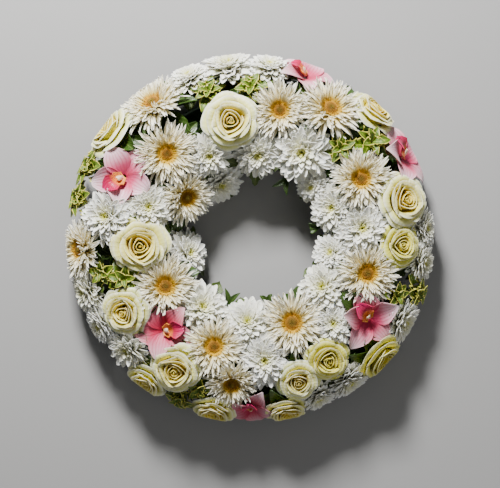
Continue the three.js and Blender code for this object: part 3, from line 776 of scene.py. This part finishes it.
# Layers of the bloom, in the same order as those of the chrysanthemums
RAY_LAYERS = [
    (39, 0.27, 0.01, 0.41, 0.52, 46), (42, 0.26, -0.02, 0.55, 0.68, 32), (44, 0.25, -0.05, 0.69, 0.8, 21),
    (46, 0.23, -0.09, 0.83, 0.88, 11), (46, 0.21, -0.14, 0.95, 0.93, 2),
]
GERBERA_FIT = {"reach": 1.16, "overlap": 1.4, "proud": 0.005, "standing": 0.25}
ray_along = mesh_points(ray.data)[:, 1]
ray_blooms = []
for version in range(3):
    chance = random.Random(60 + version)
    rays = []
    for layer, (count, out, height, length, width, lift) in enumerate(RAY_LAYERS):
        for index in range(count):
            around = FULL_TURN * (index + 0.5 * layer + 0.4 * chance.random()) / count
            rays.append(lay(
                chance.choice([ray, curled_ray, *bent_rays]), around, out, height,
                lift=lift + chance.uniform(-6, 6), roll=chance.uniform(-0.6, 0.6),
                length=length * chance.uniform(0.88, 1.08), width=width,
                tone=(max(0, 1.1 - 0.3 * layer) + 0.3 * chance.random()) * np.clip(1.1 - ray_along, 0, 1)))
    ray_blooms.append(gather(rays, f"ray_bloom_{version}"))

golden_florets, tree, shader = new_finish("golden_florets")
tone = add_node(tree, "Attribute", attribute_name="tone").outputs["Fac"]
floret_colour = colour_steps(
    tree, tone, (0.0, (0.23, 0.18, 0.001)), (0.35, (0.23, 0.14, 0.0)), (0.6, (0.29, 0.13, 0.0)),
    (0.78, (0.46, 0.21, 0.0)), (1.0, (0.64, 0.4, 0.003)))
pollen = noise(tree, add_node(tree, "TexCoord").outputs["Object"], 900.0, 3.0)
pollen_shade = colour_steps(tree, pollen, (0.3, (0.6, 0.55, 0.45)), (0.65, (1.2, 1.15, 1.0)))
dusted = mix_colours(tree, 1.0, floret_colour, pollen_shade, "MULTIPLY")
feed(shader, Base_Color=dusted, Roughness=0.8, Sheen_Weight=0.05, Normal=bump(tree, pollen, 0.6, 0.0004))

# The eye, for a bloom of radius 1: hollow-topped florets on a low dome, with a fringe round them
FLORETS = 110
FLORET_HEIGHT = 0.07
FLORET_ANGLE = 2.39996
FLORETS_REACH = 0.225
DOME_RADIUS = 0.24
DOME_FLATNESS = 0.36
DOME_LIFT = 0.012
FRINGE = 84
deselect()
bpy.ops.mesh.primitive_cone_add(
    vertices=6, radius1=0.02, radius2=0.011, depth=FLORET_HEIGHT, location=(0, 0, FLORET_HEIGHT / 2))
floret = bpy.context.object
bpy.ops.object.mode_set(mode="EDIT")
bpy.ops.mesh.select_all(action="DESELECT")
shape = bmesh.from_edit_mesh(floret.data)
for face in shape.faces:
    face.select_set(face.calc_center_median().z > FLORET_HEIGHT - 0.001)
bmesh.update_edit_mesh(floret.data)
bpy.ops.mesh.inset(thickness=0.004)
bpy.ops.transform.translate(value=(0, 0, -0.012))
bpy.ops.object.mode_set(mode="OBJECT")
bpy.ops.object.transform_apply(location=True)
floret.data.materials.append(golden_florets)
deselect()
bpy.ops.mesh.primitive_uv_sphere_add(segments=24, ring_count=8, radius=DOME_RADIUS, location=(0, 0, 0))
dome = bpy.context.object
bpy.ops.transform.resize(value=(1, 1, DOME_FLATNESS), center_override=(0, 0, 0))
bpy.ops.object.transform_apply(location=True, scale=True)
points = mesh_points(dome.data)
points[:, 2] = np.maximum(points[:, 2], 0) + DOME_LIFT
put_points(dome.data, points)
dome.data.materials.append(golden_florets)
fringe = petal("fringe", golden_florets, 2, [
    (0.0, 0.03, 0.0), (0.45, 0.06, 0.06), (1.0, 0.01, -0.06),
], cup=0.8)
eye_parts = [copy_blade(dome, 0.3)]
chance = random.Random(7)
for index in range(FRINGE):
    eye_parts.append(lay(
        fringe, FULL_TURN * (index + 0.3 * chance.random()) / FRINGE, out=0.21, height=0.02,
        lift=chance.uniform(30, 62), roll=0, length=chance.uniform(0.14, 0.24), width=0.26,
        tone=chance.uniform(0.72, 1.0)))
for index in range(FLORETS):
    share = math.sqrt((index + 0.5) / FLORETS)
    around = FLORET_ANGLE * index
    out = FLORETS_REACH * share
    bud = copy_blade(floret, share)
    bud.rotation_euler = (0, 0.9 * share, around)
    bud.location = (out * math.cos(around), out * math.sin(around), 0.075 * (1 - share ** 2) + 0.01)
    eye_parts.append(bud)
eye = gather(eye_parts, "gerbera_eye")

for plant in of_kind("gerbera"):
    site = plant.sites[0]
    head = join([seat(ray_blooms[plant.number % 3], site, **GERBERA_FIT)], f"gerbera_rays_{plant.number:02d}")
    thicken(head, PETAL_THICKNESS)
    settle_in(head, plant.node)
    middle = join([seat(eye, site, **GERBERA_FIT)], f"gerbera_florets_{plant.number:02d}")
    middle.data.shade_smooth()
    settle_in(middle, f"gerbera_eye_{plant.number:02d}")
    add_greens(plant, collar(pointed_leaf, site, 4), "gerbera_stem", neck_drop=0.013, thick=0.0024)

# Roses. Cream garden roses, golden between the inner petals, and three of them greenish. A petal
# is a broad shell that rises in a cup round the bud and turns its rim back, the outer ones most.
# Each stem goes into the foam, and two of them branch to a second rose.
# Each rose petal grows darker and greener towards its base, partly its own colour and partly painted shade
# deep in the bloom. The thin pale band at its very rim is partly its own paler edge and partly a painted
# highlight.
rose_petal = petal_finish(
    "cream_rose",
    [(0.0, (0.4, 0.46, 0.02)), (0.35, (0.66, 0.69, 0.05)), (0.66, (0.82, 0.83, 0.17)),
     (0.9, (0.91, 0.92, 0.44)), (0.99, (0.97, 0.97, 0.8))],
    vein_colour=(0.8, 0.82, 0.28), vein_share=0.1, vein_lines=60.0, roughness=0.45, glow=0.4,
    tone_colour=(0.86, 0.63, 0.004), tone_share=0.95)
green_rose_petal = petal_finish(
    "green_rose",
    [(0.0, (0.28, 0.34, 0.01)), (0.35, (0.58, 0.57, 0.01)), (0.68, (0.73, 0.7, 0.03)),
     (0.9, (0.84, 0.82, 0.18)), (0.99, (0.94, 0.93, 0.6))],
    vein_colour=(0.66, 0.66, 0.06), vein_share=0.1, vein_lines=60.0, roughness=0.45, glow=0.4,
    tone_colour=(0.72, 0.58, 0.003), tone_share=0.92)

# Layers: petals, radius and height of the base, length, rise of base, body and rim in degrees,
# where the rim starts to turn, span in degrees, how flat a side of the ring is, and how golden
# the petal is at its base and at its rim
ROSE_LAYERS = [
    (2, 0.05, 0.28, 0.34, 84, 93, 92, 0.8, 230, 0.0, 0.9, 0.7),
    (3, 0.11, 0.26, 0.36, 80, 92, 80, 0.8, 175, 0.2, 0.95, 0.6),
    (3, 0.18, 0.23, 0.4, 66, 90, 60, 0.76, 155, 0.35, 1.0, 0.4),
    (3, 0.26, 0.19, 0.46, 44, 88, 34, 0.74, 150, 0.4, 1.0, 0.2),
    (3, 0.27, 0.09, 0.67, 2, 86, -6, 0.74, 156, 0.45, 1.0, 0.1),
    (4, 0.25, -0.04, 0.84, 0, 78, -26, 0.7, 128, 0.32, 0.6, 0.0),
    (5, 0.22, -0.16, 1.0, -4, 66, -42, 0.64, 108, 0.2, 0.25, 0.0),
    (5, 0.2, -0.26, 1.1, -6, 54, -52, 0.6, 104, 0.12, 0.1, 0.0),
]
BODY_FROM = 0.4
PROFILE_STEPS = 24
deselect()
bpy.ops.mesh.primitive_grid_add(x_subdivisions=10, y_subdivisions=11, size=2, calc_uvs=True)
flat_petal = bpy.context.object


def wrap_petal(around, chance, base, low, length, base_rise, body_rise, rim_rise, rim_from, span, flat,
               gold, rim_gold):
    """A rose petal: the flat sheet bent up from its base along a profile, and wrapped round the axis."""
    x, y, _ = mesh_points(flat_petal.data).T
    along = (y + 1) / 2
    sway = chance.uniform(-1, 1)
    # The corners are rounded, and the rim waves a little
    outline = 1 - 0.3 * np.abs(x) ** 2.6 + 0.03 * np.cos(5 * x + 3 * sway)
    reach = length * chance.uniform(0.96, 1.04) * outline
    radius, height = np.full_like(x, base), np.full_like(x, low)
    tilt = chance.uniform(-5, 5)
    for step in range(PROFILE_STEPS):
        at = (step + 0.5) / PROFILE_STEPS * along
        body = np.clip(at / BODY_FROM, 0, 1)
        roll = np.clip((at - rim_from) / (1 - rim_from), 0, 1) * (1 - 0.45 * (x - 0.25 * sway) ** 2)
        rise = base_rise + (body_rise + tilt - base_rise) * body * (2 - body) + (rim_rise - body_rise) * roll
        radius = radius + np.cos(np.radians(rise)) * reach * along / PROFILE_STEPS
        height = height + np.sin(np.radians(rise)) * reach * along / PROFILE_STEPS
    # The sheet is widest above its middle, and one edge stands outside the next petal
    half_span = math.radians(span) / 2 * np.sin(np.pi * (0.16 + 0.46 * along)) ** 0.8
    turned = x * half_span
    radius = radius * (1 + flat * (1 / np.cos(np.minimum(np.abs(turned), 0.95)) - 1)) + 0.016 * x
    height = height + 0.012 * np.sin(6 * turned + 5 * sway) * along
    angle = around + turned
    tone = rim_gold + (gold - rim_gold) * np.clip(1.45 - 1.35 * along, 0, 1) ** 0.7 + chance.uniform(0, 0.06)
    twin = copy_blade(flat_petal, tone)
    put_points(twin.data, np.stack([radius * np.cos(angle), radius * np.sin(angle), height], axis=1))
    return twin


def rose_bloom(name, seed, finish):
    chance = random.Random(seed)
    petals = []
    for layer, (count, *sizes) in enumerate(ROSE_LAYERS):
        for index in range(count):
            around = FULL_TURN * (index + 0.16 * chance.random()) / count + GOLDEN_ANGLE * layer
            petals.append(wrap_petal(around, chance, *sizes))
    bloom = gather(petals, name)
    bloom.data.materials.append(finish)
    return bloom


cream_roses = [rose_bloom(f"cream_rose_{version}", 80 + version, rose_petal) for version in range(3)]
green_rose = rose_bloom("green_rose", 90, green_rose_petal)
GREEN_BEARINGS = (303, 314, 353)
ROSE_THICKNESS = 0.0006
ROSE_FIT = {"reach": 1.1, "overlap": 1.3, "proud": 0.0, "standing": 0.1}
for plant in of_kind("rose_stem"):
    heads = []
    for site, row in zip(plant.head_sites, plant.rows):
        rose = green_rose if row[0] in GREEN_BEARINGS else cream_roses[site.seed % 3]
        heads.append(seat(rose, site, **ROSE_FIT))
    blooms = join(heads, f"rose_blooms_{plant.number:02d}")
    thicken(blooms, ROSE_THICKNESS)
    settle_in(blooms, plant.node)
    leaves = [leaf for site in plant.head_sites for leaf in collar(pointed_leaf, site, 6)]
    add_greens(plant, leaves, "rose_greens", neck_drop=0.017, thick=0.0026)

# Orchids. Cymbidiums with five broad pink tepals, a deep red ruffled lip with a speckled yellow
# throat, and a short column above it. Each is on a short stem of its own, set in the foam.
pink_tepal = petal_finish(
    "pink_tepal",
    [(0.0, (0.36, 0.004, 0.04)), (0.26, (0.62, 0.08, 0.18)), (0.52, (0.84, 0.48, 0.57)),
     (0.9, (0.93, 0.83, 0.85))],
    vein_colour=(0.5, 0.02, 0.1), vein_share=0.35, vein_lines=44.0, roughness=0.42, glow=0.2,
    tone_colour=(0.46, 0.005, 0.04), tone_share=0.9)
red_lip = petal_finish(
    "red_lip",
    [(0.0, (0.86, 0.42, 0.02)), (0.42, (0.8, 0.24, 0.01)), (0.58, (0.5, 0.005, 0.05)),
     (1.0, (0.66, 0.01, 0.16))],
    vein_colour=(0.35, 0.004, 0.01), vein_share=0.55, vein_lines=50.0, roughness=0.35, glow=0.1,
    tone_colour=(0.5, 0.01, 0.06), tone_share=0.2)
tree = red_lip.node_tree
shader = tree.nodes["Principled BSDF"]
plain_lip = shader.inputs["Base Color"].links[0].from_socket
own_map = add_node(tree, "UVMap").outputs["UV"]
spots = add_node(tree, "TexVoronoi", Vector=own_map, Scale=13.0).outputs["Distance"]
spot_mask = colour_steps(tree, spots, (0.3, (1, 1, 1)), (0.4, (0, 0, 0)))
feed(shader, Base_Color=mix_colours(tree, spot_mask, plain_lip, (0.42, 0.0, 0.06, 1)))
pale_column = petal_finish(
    "pale_column", [(0.0, (0.66, 0.3, 0.22)), (0.6, (0.78, 0.5, 0.38)), (1.0, (0.84, 0.72, 0.42))],
    vein_colour=(0.6, 0.2, 0.2), vein_share=0.3, vein_lines=30.0, roughness=0.4, glow=0.2,
    tone_colour=(0.8, 0.6, 0.5), tone_share=0.3)
tepal = petal("tepal", pink_tepal, 10, [
    (0.0, 0.1, 0.0), (0.1, 0.2, 0.02), (0.22, 0.31, 0.05), (0.36, 0.375, 0.08), (0.5, 0.38, 0.09),
    (0.64, 0.33, 0.08), (0.77, 0.24, 0.05), (0.88, 0.14, 0.0), (0.95, 0.07, -0.05), (1.0, 0.02, -0.09),
], cup=0.22)
lip = petal("lip", red_lip, 10, [
    (0.0, 0.16, 0.1), (0.15, 0.26, 0.03), (0.32, 0.34, 0.0), (0.46, 0.26, 0.02), (0.6, 0.34, 0.03),
    (0.76, 0.4, -0.02), (0.9, 0.3, -0.14), (1.0, 0.14, -0.24),
], cup=0.5)
points = mesh_points(lip.data)
points[:, 2] += 0.035 * np.sin(points[:, 0] * 38) * np.clip(points[:, 1] - 0.4, 0, 1) * 2
put_points(lip.data, points)
column = petal("column", pale_column, 6, [
    (0.0, 0.16, 0.0), (0.3, 0.17, 0.1), (0.6, 0.19, 0.14), (0.85, 0.2, 0.1), (1.0, 0.1, 0.0),
], cup=-0.9)

# How deep a pink each orchid's tepals are
ORCHID_DEPTHS = (0.15, 0.55, 0.35, 1.0, 0.75, 1.0)
TEPALS = 5
ORCHID_THICKNESS = 0.0009
ORCHID_FIT = {"reach": 1.25, "overlap": 1.35, "proud": -0.002}
chance = random.Random(12)
tepal_along = mesh_points(tepal.data)[:, 1]
tepals = [lay(tepal, FULL_TURN * index / TEPALS, out=0.08, height=0.0, lift=18 if index % 2 else 8,
              roll=chance.uniform(-0.3, 0.3), length=1.2, width=1.25,
              tone=chance.uniform(0.25, 1.0) * (1.3 - 0.8 * tepal_along)) for index in range(TEPALS)]
orchid_tepals = gather(tepals, "orchid_tepals")
laid_lip = lay(lip, math.pi, out=0.04, height=0.1, lift=36, roll=0, length=0.8, width=0.86, tone=0.5)
orchid_lip = gather([laid_lip], "orchid_lip")
laid_column = lay(column, math.pi, out=0.0, height=0.11, lift=62, roll=0, length=0.38, width=0.44, tone=0.5)
orchid_column = gather([laid_column], "orchid_column")
for plant in of_kind("orchid"):
    site = plant.sites[0]
    petals = seat(orchid_tepals, site, standing=0.05, **ORCHID_FIT)
    retone(petals, ORCHID_DEPTHS[plant.number - 1], 0)
    middle = [seat(part, site, standing=0.0, **ORCHID_FIT) for part in (orchid_lip, orchid_column)]
    bloom = join([petals, *middle], f"orchid_bloom_{plant.number:02d}")
    thicken(bloom, ORCHID_THICKNESS)
    settle_in(bloom, plant.node)
    add_greens(plant, collar(pointed_leaf, site, 4), "orchid_stem", neck_drop=0.011, thick=0.002, sunk=0.005)

# The single petals, leaves and blooms that everything was copied from are cleared away
for pattern in [waved_leaf, mum_petal, young_petal, lobed_leaf, pointed_leaf, ray, curled_ray, *bent_rays,
                floret, fringe, dome, eye, flat_petal, green_rose, tepal, lip, column, orchid_tepals,
                orchid_lip, orchid_column, *mum_blooms, *ray_blooms, *cream_roses]:
    bpy.data.objects.remove(pattern)

# Floor, light and camera. A plain pale floor under soft studio light that comes mainly from the
# wreath's far side, and a long lens that looks straight down, as the photograph was taken.
deselect()
bpy.ops.mesh.primitive_plane_add(size=16, location=(0, 0, -0.0005))
floor = bpy.context.object
floor.name = "floor"
pale_floor, tree, shader = new_finish("pale_floor")
feed(shader, Base_Color=(0.32, 0.316, 0.31, 1), Roughness=0.8)
floor.data.materials.append(pale_floor)

world = bpy.context.scene.world or bpy.data.worlds.new("studio")
bpy.context.scene.world = world
world.use_nodes = True
feed(world.node_tree.nodes["Background"], Color=(0.95, 0.97, 1.0, 1), Strength=0.13)
for name, spot, size, power in (("key", (-0.3, 1.25, 1.0), 0.36, 84), ("fill", (0.9, -0.9, 1.2), 1.4, 5)):
    lamp = bpy.data.lights.new(name, "AREA")
    lamp.size = size
    lamp.energy = power
    lit = bpy.data.objects.new(name, lamp)
    bpy.context.collection.objects.link(lit)
    lit.location = spot
    x, y, height = spot
    lit.rotation_euler = (math.atan2(math.hypot(x, y), height), 0, math.atan2(-y, -x) - math.pi / 2)

lens = bpy.data.cameras.new("camera")
lens.lens = 100
camera = bpy.data.objects.new("camera", lens)
bpy.context.collection.objects.link(camera)
camera.location = (-0.001, -0.007, 1.70)
bpy.context.scene.camera = camera
